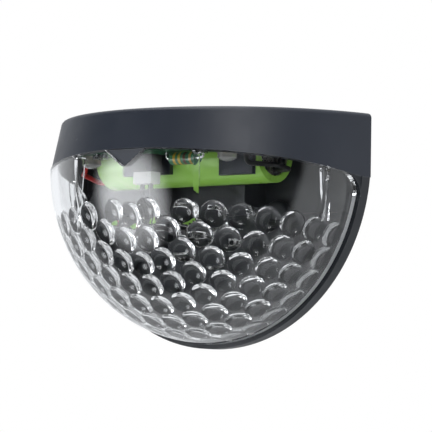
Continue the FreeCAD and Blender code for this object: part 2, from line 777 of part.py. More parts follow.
cell_left = "-battery_long/2"
battery_axis = ("-battery_back", "battery_level")
can = rod("can_round", "battery_radius - sleeve_wall", "battery_long - 2*sleeve_wall",
          (cell_left + " + sleeve_wall",) + battery_axis, "x")
nub = rod("can_nub", "2.6", "1.0", (cell_left + " - 0.6",) + battery_axis, "x")
keep("battery_can", join("can_whole", [can, nub]))
sleeve_round = rod("sleeve_round", "battery_radius", "battery_long", (cell_left,) + battery_axis, "x")
sleeve_room = rod("sleeve_room", "battery_radius - sleeve_wall", "battery_long - 2*sleeve_wall",
                  (cell_left + " + sleeve_wall",) + battery_axis, "x")
sleeve_mouth = rod("sleeve_mouth", "battery_radius - 1.6", "battery_long + 2",
                   (cell_left + " - 1",) + battery_axis, "x")
keep("battery_sleeve", cut("sleeve", sleeve_round, [sleeve_room, sleeve_mouth]))
TAB_THICK = "0.3"
tab_low = "battery_level - 6.2"
keep("positive_tab", box("left_tab", (TAB_THICK, "3", "8"),
                         (cell_left + " - 0.6 - " + TAB_THICK, "-battery_back - 1.5", tab_low)))
keep("negative_tab", box("right_tab", ("sleeve_wall + " + TAB_THICK, "3", "8"),
                         ("battery_long/2 - sleeve_wall", "-battery_back - 1.5",
                          "battery_level - 5.2")))


# ---- circuit board and what it carries -------------------------------------------------------

def build_board():
    body = new_body("circuit_body")
    front = "(board_back + board_wide)"
    pad(body, outline(body, "board_plan", "XY_Plane",
                      [("-board_reach", "-board_back"),
                       ("-board_reach", "-%s + board_corner" % front),
                       ("-board_reach + board_corner", "-" + front),
                       ("board_reach - board_corner", "-" + front),
                       ("board_reach", "-%s + board_corner" % front),
                       ("board_reach", "-board_back")], lift="board_level"), "board_thick")
    for side, tag in ((-1, "left"), (1, "right")):
        pocket(body, disc(body, "board_hole_" + tag, "XY_Plane", "%d*board_boss_reach" % side,
                          "-board_boss_back", "1.2", lift="board_level - 1"),
               "board_thick + 2", reverse=True)
    return keep("circuit_board", body)


build_board()


def build_led(label, side):
    """Straw-hat diode: flange, short barrel and low dome, with room for the chip in its middle."""
    body = new_body(label + "_body")
    top = "board_level"
    section = outline(body, label + "_section", "XZ_Plane",
                      [("1", top), ("2.7", top), ("2.7", top + " - 0.9"), ("2.3", top + " - 0.9"),
                       ("2.3", top + " - 2.0"), ("0", top + " - 2.9"), ("0", top + " - 1.2"),
                       ("1", top + " - 1.2")],
                      {4: ("3.4", -1)})
    turn(body, section, "Z_Axis")
    set_place(body, "%d*led_reach" % side, "-led_back")
    keep(label, body)
    keep(label + "_chip", rod(label + "_chip_round", "1", "1.2",
                              ("%d*led_reach" % side, "-led_back", top + " - 1.2")))


build_led("led_left", -1)
build_led("led_right", 1)

coil_level = "board_level - 1.6"
coil = rod("coil_round", "1.5", "7.4", ("4.5", "-24.8", coil_level), "x")
caps = [rod("coil_cap_left", "1.2", "8.2", ("4.1", "-24.8", coil_level), "x")]
keep("inductor_body", join("coil_whole", [coil] + caps))
leads = []
for side, start in ((-1, "4.1"), (1, "12.3")):
    bend_x = "%s + %d*1.4" % (start, side)
    leads.append(wire("coil_lead_%s" % ("left" if side < 0 else "right"), "0.3",
                      [(start, "-24.8", coil_level), (bend_x, "-24.8", coil_level),
                       (bend_x, "-24.8", "board_level")], "0.9"))
keep("inductor_leads", group("coil_leads", leads))

keep("control_chip", box("chip_block", ("4", "3", "1.5"), ("-12", "-25.5", "board_top + 0.2")))
pins = []
for number in range(3):
    x = "-11.65 + %d*1.35" % number
    for side, base in ((-1, "-25.5"), (1, "-22.5")):
        shift = "-0.8" if side < 0 else "0"
        foot = "-1.2" if side < 0 else "0.6"
        pins.append(join("chip_pin_%d_%s" % (number, "front" if side < 0 else "rear"), [
            box("pin_arm_%d_%d" % (number, side + 1), ("0.6", "0.8", "0.3"),
                (x, "%s + %s" % (base, shift), "board_top + 0.8")),
            box("pin_leg_%d_%d" % (number, side + 1), ("0.6", "0.3", "0.8"),
                (x, "%s + %s" % (base, "-0.8" if side < 0 else "0.5"), "board_top")),
            box("pin_foot_%d_%d" % (number, side + 1), ("0.6", "0.6", "0.25"),
                (x, "%s + %s" % (base, foot), "board_top")),
        ]))
keep("chip_leads", group("chip_pins", pins))

socket_x = "-switch_place - pin_pitch/2"
socket_back = "-24.6"
socket_block = box("socket_block", ("5.8", "3.8", "4.2"),
                   (socket_x + " - 2.9", socket_back, "board_level - 4.2"))
socket_room = box("socket_room", ("4.6", "2.6", "3.6"),
                  (socket_x + " - 2.3", socket_back + " + 0.6", "board_level - 4.6"))
keep("connector_socket", cut("socket_shell", socket_block, [socket_room]))
plug_tongue = box("plug_tongue", ("4.4", "2.4", "2.6"),
                  (socket_x + " - 2.2", socket_back + " + 0.7", "board_level - 4.3"))
plug_head = box("plug_head", ("5.4", "3.4", "2.8"),
                (socket_x + " - 2.7", socket_back + " + 0.2", "board_level - 7.0"))
keep("connector_plug", join("plug_whole", [plug_tongue, plug_head]))


# ---- wires -----------------------------------------------------------------------------------

keep("red_wire", wire("battery_lead_red", "wire_radius", [
    ("-board_reach + 1.6", "-22.4", "board_level"),
    ("-board_reach + 1.6", "-22.4", "board_level - 3.2"),
    ("-battery_long/2 - 4.6", "-18.0", "-1.8"),
    ("-battery_long/2 - 4.6", "-battery_back", "-3.4"),
    (cell_left + " - 0.9", "-battery_back", "-3.4")], "1.3"))
keep("black_wire", wire("battery_lead_black", "wire_radius", [
    ("board_reach - 1.6", "-22.4", "board_level"),
    ("board_reach - 1.6", "-22.4", "board_level - 3.2"),
    ("battery_long/2 + 4.6", "-18.0", "-1.8"),
    ("battery_long/2 + 4.6", "-battery_back", "-2.4"),
    ("battery_long/2 + " + TAB_THICK, "-battery_back", "-2.4")], "1.3"))
wire_top = "panel_floor + tape_thick"
for label, x in (("panel_red_wire", "-2"), ("panel_black_wire", "2")):
    keep(label, rod(label + "_round", "wire_radius", "%s - board_top" % wire_top,
                    (x, "-24", "board_top")))
pin_tip = "8.2"
for label, x in (("switch_wire_left", "-switch_place - pin_pitch"),
                 ("switch_wire_right", "-switch_place")):
    keep(label, wire(label + "_round", "wire_radius", [
        (x, "-22.7", "board_level - 7.0"),
        (x, "-22.7", "-switch_drop"),
        (x, "-" + pin_tip, "-switch_drop")], "6"))


# ---- switch ----------------------------------------------------------------------------------

def switch_block(name, half_wide, half_high, low, high):
    """Block centred on the switch, from one distance off the wall to another."""
    return box(name, ("2*(%s)" % half_wide, "(%s) - (%s)" % (high, low), "2*(%s)" % half_high),
               ("-switch_place - (%s)" % half_wide, "-(%s)" % high,
                "-switch_drop - (%s)" % half_high))


flange_front = "tray_floor + 0.4"
knob_half = "0.9"
reach = knob_half + " + switch_travel/2 + 0.15"
flange = switch_block("switch_flange", "7.8", "1.8", "tray_floor", flange_front)
case = switch_block("switch_case", "4.3", "1.8", flange_front, "tray_floor + 3.4")
case_room = switch_block("switch_case_room", "4.0", "1.5", flange_front, "tray_floor + 4")
window = switch_block("switch_case_window", reach, "0.85", "tray_floor - 1", flange_front + " + 1")
peg_holes = [rod("switch_peg_hole_%d" % (side + 1), "0.8", "3",
                 ("-switch_place + %d*6.2" % side, "-tray_floor - 2", "-switch_drop"), "y")
             for side in (-1, 1)]
keep("switch_frame", cut("switch_shell", join("switch_shell_solid", [flange, case]),
                         [case_room, window] + peg_holes))
plate_low = flange_front + " + switch_gap"
plate_high = plate_low + " + 0.9"
keep("switch_base", switch_block("switch_base_block", "4.0", "1.5", plate_high + " + switch_gap",
                                 "tray_floor + 3.8"))
slider_plate = switch_block("slider_plate", "2.9", "1.5 - switch_gap", plate_low, plate_high)
knob = switch_block("slider_knob", knob_half, "0.7", "0.6", plate_low + " + 0.3")
slider = join("slider_whole", [slider_plate, knob])
slider.setExpression("Placement.Base.x", bind("-switch_travel/2"))
keep("switch_slider", slider)
terminals = []
for number in (-1, 0, 1):
    terminals.append(box("terminal_%d" % (number + 1),
                         ("0.8", "%s - (tray_floor + 3.8)" % pin_tip, "0.4"),
                         ("-switch_place + %d*pin_pitch - 0.4" % number, "-" + pin_tip,
                          "-switch_drop - 0.2")))
keep("switch_terminals", group("switch_pins", terminals))


# ---- screws ----------------------------------------------------------------------------------

def cross_screw(name, head_radius, head_high, shank_radius, shank_long):
    """Screw along +Z from its head at the origin, with a cross recess, ready to be placed."""
    head = rod(name + "_head", head_radius, head_high, ("0", "0", "0"))
    shank = rod(name + "_shank", shank_radius, shank_long, ("0", "0", head_high))
    slots = [box(name + "_slot_a", ("%s*1.2" % head_radius, "0.5", "0.6"),
                 ("-%s*0.6" % head_radius, "-0.25", "-0.1")),
             box(name + "_slot_b", ("0.5", "%s*1.2" % head_radius, "0.6"),
                 ("-0.25", "-%s*0.6" % head_radius, "-0.1"))]
    return cut(name, join(name + "_solid", [head, shank]), slots)


tray_screws = []
board_screws = []
for side, tag in ((-1, "left"), (1, "right")):
    screw = cross_screw("tray_screw_" + tag, "2.4", "1.6", "boss_bore", "8")
    screw.Placement = FreeCAD.Placement(
        FreeCAD.Vector(), FreeCAD.Rotation(FreeCAD.Vector(1, 0, 0), 90))
    set_place(screw, "%d*boss_reach" % side, "-0.3", "boss_level")
    tray_screws.append(screw)
    screw = cross_screw("board_screw_" + tag, "1.8", "1.0", "0.8", "4.6")
    set_place(screw, "%d*board_boss_reach" % side, "-board_boss_back", "board_level - 1.0")
    board_screws.append(screw)
keep("housing_screws", group("tray_screw_pair", tray_screws))
keep("board_screws", group("board_screw_pair", board_screws))


# ---- checks and export -----------------------------------------------------------------------

doc.recompute()
for item in doc.Objects:
    if "Invalid" in item.State or "Error" in item.State:
        raise ValueError("%s is in state %s" % (item.Name, item.State))
for label, item in nodes.items():
    if item.Shape.isNull() or not item.Shape.isValid() or not item.Shape.Solids:
        raise ValueError("%s has no sound solid" % label)
    print("%-18s solids %2d volume %9.2f" % (label, len(item.Shape.Solids), item.Shape.Volume))

os.makedirs("parts", exist_ok=True)
for label, item in nodes.items():
    item.Shape.exportStep("parts/%s.step" % label)
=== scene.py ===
"""Looks of the fence light: materials, lens, keyhole cups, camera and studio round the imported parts."""
import itertools
import math

import bmesh
import bpy
import numpy as np
from mathutils import Matrix, Vector


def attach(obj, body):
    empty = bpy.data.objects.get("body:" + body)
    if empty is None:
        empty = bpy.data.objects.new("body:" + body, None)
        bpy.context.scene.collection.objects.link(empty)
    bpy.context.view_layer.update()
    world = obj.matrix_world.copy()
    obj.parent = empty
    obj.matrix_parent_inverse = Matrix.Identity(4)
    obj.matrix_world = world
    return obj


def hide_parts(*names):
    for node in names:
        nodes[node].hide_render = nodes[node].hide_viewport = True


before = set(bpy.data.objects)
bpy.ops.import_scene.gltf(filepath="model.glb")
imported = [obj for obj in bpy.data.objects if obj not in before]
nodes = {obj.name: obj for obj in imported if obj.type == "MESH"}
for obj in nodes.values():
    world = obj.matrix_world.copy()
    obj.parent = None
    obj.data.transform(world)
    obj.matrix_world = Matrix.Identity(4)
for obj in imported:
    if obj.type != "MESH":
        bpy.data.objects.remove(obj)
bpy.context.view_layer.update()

# camera as fitted to the photo: width and focal length in pixels, sensor in mm, place in metres, axes,
# roll in radians, and the pixel that CAMERA_AHEAD points at
PHOTO = 432
FOCAL_PX = 3110.0
SENSOR = 36.0
CAMERA_PLACE = Vector((0.4637, -0.5978, -0.0698))
CAMERA_AHEAD = Vector((-0.6234, 0.7781, 0.0767))
CAMERA_RIGHT = Vector((0.7804, 0.6252, 0.0))
CAMERA_UP = Vector((0.048, -0.0599, 0.997))
ROLL = -0.0178
CENTRE = (173.0, 215.0)
CLIP_START = 0.01

# studio: strengths in front, behind, overhead and for light that has met a matt surface
DARK = 0.03
WHITE = 0.95
OVERHEAD = 0.5
PLAIN = 0.8
STUDIO_TINT = (0.95, 0.97, 1.0)
# y and z of a direction between which the white behind and the light overhead come up
WALL_FADE = (-0.22, -0.06)
OVERHEAD_FADE = (0.6, 0.9)
# softboxes: direction, cosines where the light begins and is full, and strength
BOXES = (
    ((-0.60, -0.75, -0.27), 0.87, 0.985, 6.0),
    ((0.62, -0.66, 0.42), 0.9, 0.98, 1.0),
)
# the floor glows as the studio would, seen from this spot of the light
LIT_SPOT = (0.005, -0.035, -0.012)
FLOOR_LEVEL = -0.12
FLOOR_HALF = 3.0
BOUNCES = 32

# noise scales per metre: mottling, rubbed places and gloss of plastic; spots and gloss of metal
MOTTLING, RUBBED, GLOSS = 60.0, 400.0, 180.0
METAL_SPOTS, METAL_GLOSS, METAL_GRAIN = 300.0, 800.0, 2500.0
METAL_ROUGH, METAL_DEPTH = (0.2, 0.35), 0.000008
# worn edges: reach in metres, and cosines between true and rounded normal for a full and for no edge
EDGE_REACH = 0.0004
EDGE_LEAN = (0.85, 0.985)


# ---------------------------------------------------------------- shader nodes
def node(tree, kind, **props):
    made = tree.nodes.new(kind)
    for key, val in props.items():
        setattr(made, key, val)
    return made


def math_node(tree, operation, *values):
    """Math on numbers and on outputs of other nodes."""
    made = node(tree, "ShaderNodeMath", operation=operation)
    for socket, val in zip(made.inputs, values):
        if isinstance(val, (int, float)):
            socket.default_value = val
        else:
            tree.links.new(val, socket)
    return made.outputs[0]


def map_range(tree, source, start, end, low, high, kind="LINEAR"):
    made = node(tree, "ShaderNodeMapRange", interpolation_type=kind)
    for key, val in (("From Min", start), ("From Max", end), ("To Min", low), ("To Max", high)):
        made.inputs[key].default_value = val
    tree.links.new(source, made.inputs["Value"])
    return made.outputs["Result"]


# ---------------------------------------------------------------- materials
class Look:
    """A material with its Principled shader and a few helpers for the nodes that feed it."""

    def __init__(self, name, **sockets):
        self.mat = bpy.data.materials.new(name)
        self.mat.use_nodes = True
        self.tree = self.mat.node_tree
        self.shader = self.tree.nodes["Principled BSDF"]
        self.place = self.add("ShaderNodeTexCoord").outputs["Object"]
        for key, val in sockets.items():
            self.shader.inputs[key.replace("_", " ")].default_value = val

    def add(self, kind, **props):
        return node(self.tree, kind, **props)

    def link(self, a, b):
        self.tree.links.new(a, b)

    def colour(self, out):
        self.link(out, self.shader.inputs["Base Color"])

    def roughness(self, out):
        self.link(out, self.shader.inputs["Roughness"])

    def noise(self, scale, detail=3.0, rough=0.5):
        made = self.add("ShaderNodeTexNoise")
        made.inputs["Scale"].default_value = scale
        made.inputs["Detail"].default_value = detail
        made.inputs["Roughness"].default_value = rough
        self.link(self.place, made.inputs["Vector"])
        return made.outputs["Fac"]

    def span(self, fac, low, high, start=0.3, end=0.7):
        return map_range(self.tree, fac, start, end, low, high)

    def mix(self, fac, a, b):
        """Mix of two colours, each a tuple or the output of a node."""
        made = self.add("ShaderNodeMix", data_type="RGBA")
        for socket, val in ((made.inputs[6], a), (made.inputs[7], b)):
            if isinstance(val, tuple):
                socket.default_value = (*val, 1.0)
            else:
                self.link(val, socket)
        self.link(fac, made.inputs[0])
        return made.outputs[2]

    def bump(self, height, distance):
        made = self.add("ShaderNodeBump")
        made.inputs["Strength"].default_value = 1.0
        made.inputs["Distance"].default_value = distance
        self.link(height, made.inputs["Height"])
        self.link(made.outputs["Normal"], self.shader.inputs["Normal"])

    def along(self, axis):
        made = self.add("ShaderNodeSeparateXYZ")
        self.link(self.place, made.inputs[0])
        return made.outputs[axis]

    def stripes(self, axis, bands, ground):
        """Ground colour with bands of other colours: (start, stop, colour) in metres."""
        out = ground
        for start, stop, tint in bands:
            inside = math_node(self.tree, "COMPARE", self.along(axis), (start + stop) / 2, (stop - start) / 2)
            out = self.mix(inside, out, tint)
        return out

    def lines(self, axis, pitch, width, ground, tint):
        """Thin lines of one colour at an even pitch."""
        away = math_node(self.tree, "PINGPONG", self.along(axis), pitch / 2)
        return self.mix(math_node(self.tree, "LESS_THAN", away, width / 2), ground, tint)

    def edges(self):
        """Mask that is 1 on outer edges and falls to 0 within EDGE_REACH of them."""
        bevel = self.add("ShaderNodeBevel", samples=4)
        bevel.inputs["Radius"].default_value = EDGE_REACH
        lean = self.add("ShaderNodeVectorMath", operation="DOT_PRODUCT")
        self.link(bevel.outputs[0], lean.inputs[0])
        self.link(self.add("ShaderNodeNewGeometry").outputs["Normal"], lean.inputs[1])
        return self.span(lean.outputs["Value"], 1.0, 0.0, *EDGE_LEAN)


def moulded(name, dark, light, rough=(0.4, 0.5), grain=2500.0, depth=0.00002, wear=None, **sockets):
    """Moulded plastic: mottled colour, fine grain, uneven gloss and, if asked, paler worn edges."""
    look = Look(name, **sockets)
    out = look.mix(look.span(look.noise(MOTTLING), 0.0, 1.0), dark, light)
    if wear:
        rubbed = look.span(look.noise(RUBBED), 0.2, 1.0, 0.4, 0.65)
        out = look.mix(math_node(look.tree, "MULTIPLY", look.edges(), rubbed), out, wear)
    look.colour(out)
    look.roughness(look.span(look.noise(GLOSS, 4.0), *rough))
    look.bump(look.noise(grain, 2.0, 0.6), depth)
    return look


def metal(name, dark, light):
    """Metal with faint spots and uneven gloss."""
    look = Look(name, Metallic=1.0)
    look.colour(look.mix(look.span(look.noise(METAL_SPOTS, 4.0), 0.0, 1.0), dark, light))
    look.roughness(look.span(look.noise(METAL_GLOSS, 4.0, 0.6), *METAL_ROUGH))
    look.bump(look.noise(METAL_GRAIN, 2.0), METAL_DEPTH)
    return look


def clear(name):
    """Clear moulded lens with a faint unevenness."""
    look = Look(name, Base_Color=(0.985, 0.992, 0.995, 1.0), Transmission_Weight=1.0, IOR=1.49)
    look.roughness(look.span(look.noise(140.0, 4.0), 0.0, 0.02))
    look.bump(look.noise(900.0, 2.0), 0.000001)
    return look


# two tints of each moulded material, and what differs from the defaults of moulded()
MOULDED = {
    "housing_plastic": ((0.010, 0.014, 0.023), (0.013, 0.017, 0.027), dict(
        rough=(0.4, 0.46), grain=6000.0, depth=0.00001, wear=(0.04, 0.045, 0.055), Specular_IOR_Level=0.4)),
    "tray_plastic": ((0.010, 0.012, 0.016), (0.013, 0.015, 0.019), dict(
        rough=(0.45, 0.55), grain=3600.0, depth=0.00001, wear=(0.05, 0.055, 0.06), Specular_IOR_Level=0.3)),
    # painted highlight: pale white on the clear lens's rim faces stands in for the bright line that light
    # carried along the wall shows at the rim
    "lens_rim_painted_highlight": ((0.8, 0.82, 0.84), (0.9, 0.92, 0.93), dict(rough=(0.4, 0.6), grain=900.0)),
    "sleeve_film": ((0.27, 0.56, 0.075), (0.33, 0.64, 0.10), dict(
        rough=(0.25, 0.4), grain=700.0, depth=0.00003)),
    "foam_tape": ((0.03, 0.03, 0.03), (0.06, 0.06, 0.06), dict(
        rough=(0.8, 0.95), grain=1500.0, depth=0.0001)),
    "panel_board": ((0.012, 0.02, 0.016), (0.02, 0.03, 0.024), dict(rough=(0.35, 0.5))),
    "board": ((0.015, 0.09, 0.04), (0.02, 0.13, 0.055), dict(rough=(0.3, 0.42))),
    "silicon": ((0.006, 0.01, 0.035), (0.01, 0.018, 0.06), dict(rough=(0.25, 0.35))),
    "clear_cover": ((0.9, 0.9, 0.9), (0.95, 0.95, 0.95), dict(
        rough=(0.02, 0.06), Transmission_Weight=1.0, IOR=1.49)),
    "led_resin": ((0.93, 0.92, 0.88), (0.97, 0.96, 0.93), dict(
        rough=(0.04, 0.1), Transmission_Weight=0.7, IOR=1.52)),
    "led_phosphor": ((0.75, 0.5, 0.08), (0.85, 0.62, 0.14), dict(rough=(0.5, 0.6))),
    "inductor_resin": ((0.03, 0.15, 0.07), (0.05, 0.2, 0.1), dict(rough=(0.25, 0.35))),
    "chip_resin": ((0.015, 0.015, 0.016), (0.025, 0.025, 0.027), dict(rough=(0.5, 0.6))),
    "connector_plastic": ((0.72, 0.72, 0.7), (0.8, 0.8, 0.78), dict(rough=(0.4, 0.5))),
    "red_insulation": ((0.5, 0.012, 0.012), (0.6, 0.02, 0.02), dict(rough=(0.35, 0.45))),
    "black_insulation": ((0.012, 0.012, 0.013), (0.02, 0.02, 0.022), dict(rough=(0.35, 0.45))),
    "switch_plastic": ((0.02, 0.02, 0.02), (0.03, 0.03, 0.03), dict(rough=(0.45, 0.55))),
    "slider_plastic": ((0.02, 0.02, 0.02), (0.035, 0.035, 0.035), dict(rough=(0.35, 0.45))),
}
METALS = {
    "nickel_steel": ((0.55, 0.54, 0.5), (0.7, 0.69, 0.66)),
    "nickel_tab": ((0.6, 0.58, 0.53), (0.74, 0.72, 0.68)),
    "tinned_wire": ((0.62, 0.62, 0.62), (0.78, 0.78, 0.78)),
    "switch_steel": ((0.5, 0.5, 0.5), (0.66, 0.66, 0.66)),
    "screw_steel": ((0.42, 0.43, 0.45), (0.6, 0.61, 0.63)),
}
COIL_BANDS = ((0.0056, 0.0063, (0.5, 0.33, 0.03)), (0.0071, 0.0078, (0.55, 0.4, 0.04)),
              (0.0086, 0.0093, (0.12, 0.03, 0.01)), (0.0103, 0.0110, (0.45, 0.3, 0.08)))
COIL_GROUND = (0.04, 0.17, 0.08)
CELL_PITCH, CELL_LINE = 0.0013, 0.00009
CELL_GROUND, CELL_TINT = (0.008, 0.014, 0.05), (0.35, 0.36, 0.38)

looks = {name: moulded(name, dark, light, **rest) for name, (dark, light, rest) in MOULDED.items()}
looks.update((name, metal(name, *tints)) for name, tints in METALS.items())
looks["clear_lens"] = clear("clear_lens")
coil = looks["inductor_resin"]
coil.colour(coil.stripes("X", COIL_BANDS, COIL_GROUND))
cells = looks["silicon"]
cells.colour(cells.lines("X", CELL_PITCH, CELL_LINE, CELL_GROUND, CELL_TINT))

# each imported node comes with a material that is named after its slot
for obj in nodes.values():
    slot = obj.data.materials[0].name.split(".")[0]
    obj.data.materials.clear()
    obj.data.materials.append(looks[slot].mat)
# in the photo the socket is black and the plug white
nodes["connector_socket"].data.materials[0] = looks["switch_plastic"].mat

# ---------------------------------------------------------------- lens, in mm and degrees
MM = 0.001
# outline: a front arc that runs tangent into a rim arc, in front of the tray's face
LENS_RADIUS, LENS_DEPTH, FRONT_RADIUS, BACK = 43.1, 35.0, 50.0, 3.1
WALL = 2.0
RIM_RADIUS = (2 * FRONT_RADIUS * LENS_DEPTH - LENS_RADIUS ** 2 - LENS_DEPTH ** 2) / (
    2 * (FRONT_RADIUS - LENS_RADIUS))
RIM_CENTRE = LENS_RADIUS - RIM_RADIUS
JOIN = math.atan2(RIM_CENTRE, FRONT_RADIUS - LENS_DEPTH)
# gap between rim and tray, and the least y of a face's normal there that takes the pale painted highlight of
# the rim
RIM_GAP = 0.06
RIM_FACING = 0.99
# domes: radius, half width, how many half widths a dome's points may lie from its middle, run from the
# rim to the first ring and on to the next, pitch along a ring, and start below the parting line
DOME_RADIUS = 5.5
DOME_HALF = 3.3
DOME_SEARCH = 1.3
DOME_RISE = DOME_RADIUS - math.sqrt(DOME_RADIUS ** 2 - DOME_HALF ** 2)
FIRST_RING, RING_STEP, DOME_PITCH, DOME_START = 3.0, 5.9, 6.2, 13.9
# parting line: level at the back, rise per mm of depth, and radius of the rear corners
PARTING_LEVEL, SLOPE, CORNER = -4.0, 0.16, 6.0
# ribs and pegs: angles from the front, and level, reach from the wall and half width of each end
RIB_ANGLES = (31.0, 77.5)
RIB_ENDS = ((-15.0, 1.2, 0.55), (6.0, 2.4, 0.7))
PEG_ENDS = ((-7.5, 1.2, 0.7), (5.0, 1.2, 0.7))
# notch for the V tab
TAB_REACH, TAB_DROP, FRONT_RISE, NOTCH_GAP, NOTCH_DEEP = 9.0, 4.1, 1.6, 0.15, 4.0
TAB_ROUND = TAB_DROP / 3
# how far cutting tools reach past the lens, and behind the wall face
BEYOND, BEHIND = 1.0, 5.0
# steps of the grids and arcs, and the first lean, which leaves a small face at the front
OUTER_ROWS, OUTER_COLUMNS, INNER_ROWS, INNER_COLUMNS = 120, 480, 230, 960
CORNER_STEPS, TIP_STEPS = 13, 9
FIRST_LEAN = 0.004
LENS_SHARP, CUP_SHARP = 32, 40


def profile(lean, inset=0.0):
    """Radius and depth of the lens outline where its normal leans by an angle from the front."""
    rim = lean > JOIN
    r = np.where(rim, RIM_CENTRE + (RIM_RADIUS - inset) * np.sin(lean),
                 (FRONT_RADIUS - inset) * np.sin(lean))
    d = np.where(rim, BACK + (RIM_RADIUS - inset) * np.cos(lean),
                 BACK + LENS_DEPTH - FRONT_RADIUS + (FRONT_RADIUS - inset) * np.cos(lean))
    return r, d


def turned(r, d, turn):
    """Point at a radius and a depth, turned from +X downwards about the front axis."""
    return np.stack(np.broadcast_arrays(r * np.cos(turn), -d, -r * np.sin(turn)), -1)


def parting(depth):
    """Level of the parting line at a depth."""
    return PARTING_LEVEL + SLOPE * (depth - BACK)


def dome_centres():
    """Places and normals of the domes on the inside of the lens, ring by ring from the rim."""
    inner_rim, inner_front = RIM_RADIUS - WALL, FRONT_RADIUS - WALL
    rim_run = inner_rim * (math.pi / 2 - JOIN)
    out = []
    for ring in itertools.count():
        run = FIRST_RING + RING_STEP * ring
        lean = math.pi / 2 - run / inner_rim if run < rim_run else JOIN - (run - rim_run) / inner_front
        if lean <= 0:
            return out
        r, d = map(float, profile(lean, WALL))
        drop = DOME_START - parting(d)
        if drop >= r:
            return out
        start = math.asin(drop / r)
        span = math.pi - 2 * start
        count = round(span / (DOME_PITCH / r)) + 1
        for i in range(count):
            turn = start + span * i / max(1, count - 1)
            out.append((turned(r, d, turn), turned(math.sin(lean), math.cos(lean), turn)))


def shell_grid(lean_steps, turn_steps, inset):
    """Points and normals of the turned outline, row by row from the front to the rim."""
    lean = np.linspace(FIRST_LEAN, math.pi / 2, lean_steps)[:, None]
    turn = np.linspace(0, 2 * math.pi, turn_steps, endpoint=False)[None, :]
    return turned(*profile(lean, inset), turn), turned(np.sin(lean), np.cos(lean), turn)


def domed(points, normals):
    """Push the inside of the lens in by the height of the dome that stands on each point."""
    push = np.zeros(points.shape[:2])
    for place, normal in dome_centres():
        centre = place + normal * (DOME_RADIUS - DOME_RISE)
        near = np.linalg.norm(points - place, axis=-1) < DOME_HALF * DOME_SEARCH
        away = points[near] - centre
        along = np.einsum("ij,ij->i", away, normals[near])
        square = along ** 2 - np.einsum("ij,ij->i", away, away) + DOME_RADIUS ** 2
        height = np.where(square > 0, along + np.sqrt(np.maximum(square, 0)), 0)
        push[near] = np.maximum(push[near], height)
    return points - normals * push[..., None]


def skin(base, rows, columns):
    """Quads between the rows of a grid that starts at a vertex, and one face over its first row."""
    row, column = np.meshgrid(np.arange(rows - 1), np.arange(columns), indexing="ij")
    here, there, after = base + row * columns, base + (row + 1) * columns, (column + 1) % columns
    quads = np.stack([here + column, here + after, there + after, there + column], -1)
    return quads.reshape(-1, 4).tolist() + [list(range(base, base + columns))[::-1]]


def shell_mesh():
    """Closed turned shell with its domed inside, before anything is cut from it."""
    outer, _ = shell_grid(OUTER_ROWS, OUTER_COLUMNS, 0.0)
    inner = domed(*shell_grid(INNER_ROWS, INNER_COLUMNS, WALL))
    verts = np.concatenate([outer.reshape(-1, 3), inner.reshape(-1, 3)]) * MM
    verts[:, 1] = np.minimum(verts[:, 1], -(BACK + RIM_GAP) * MM)
    base = OUTER_ROWS * OUTER_COLUMNS
    faces = skin(0, OUTER_ROWS, OUTER_COLUMNS)
    faces += [face[::-1] for face in skin(base, INNER_ROWS, INNER_COLUMNS)]
    # the rim joins the last rows, two inner steps to each outer one
    outer_rim = base - OUTER_COLUMNS
    inner_rim = base + (INNER_ROWS - 1) * INNER_COLUMNS
    for j in range(OUTER_COLUMNS):
        k = (j + 1) % OUTER_COLUMNS
        faces.append([outer_rim + j, outer_rim + k,
                      inner_rim + 2 * k, inner_rim + 2 * j + 1, inner_rim + 2 * j])
    mesh = bpy.data.meshes.new("lens_shell")
    mesh.from_pydata(verts.tolist(), [], faces)
    return mesh


def show(name, mesh):
    """Object with a mesh, in the scene."""
    obj = bpy.data.objects.new(name, mesh)
    bpy.context.scene.collection.objects.link(obj)
    return obj


def closed(name, verts, faces):
    """Object of vertices in mm and faces that close it, all turned to look outwards."""
    mesh = bpy.data.meshes.new(name)
    mesh.from_pydata([(x * MM, y * MM, z * MM) for x, y, z in verts], [], faces)
    work = bmesh.new()
    work.from_mesh(mesh)
    bmesh.ops.recalc_face_normals(work, faces=work.faces[:])
    work.to_mesh(mesh)
    work.free()
    return show(name, mesh)


def smooth(mesh, degrees):
    """Smooth shading but for edges sharper than an angle."""
    for face in mesh.polygons:
        face.use_smooth = True
    mesh.set_sharp_from_angle(angle=math.radians(degrees))


def prism(name, outline, low, high, place):
    """Closed prism over an outline of (a, b) pairs; place turns a, b and a level into x, y and z."""
    count = len(outline)
    verts = [place(a, b, level) for level in (low, high) for a, b in outline]
    faces = [list(range(count))[::-1], list(range(count, 2 * count))]
    faces += [[i, (i + 1) % count, count + (i + 1) % count, count + i] for i in range(count)]
    return closed(name, verts, faces)


def rib(name, angle, ends):
    """Upright bar on the inside of the lens wall, with its foot and its head given in ends."""
    out = Vector((math.sin(angle), -math.cos(angle), 0))
    side = Vector((math.cos(angle), math.sin(angle), 0))
    inside = 1 / math.hypot(math.sin(angle) / (LENS_RADIUS - WALL), math.cos(angle) / (LENS_DEPTH - WALL))
    verts = []
    for level, reach, half in ends:
        for run, across in ((inside + BEYOND, -half), (inside + BEYOND, half),
                            (inside - reach, half), (inside - reach, -half)):
            spot = out * run + side * across
            verts.append((spot.x, spot.y - BACK, level))
    sides = [(0, 4, 5, 1), (1, 5, 6, 2), (2, 6, 7, 3), (3, 7, 4, 0)]
    return closed(name, verts, [(0, 1, 2, 3), (7, 6, 5, 4), *sides])


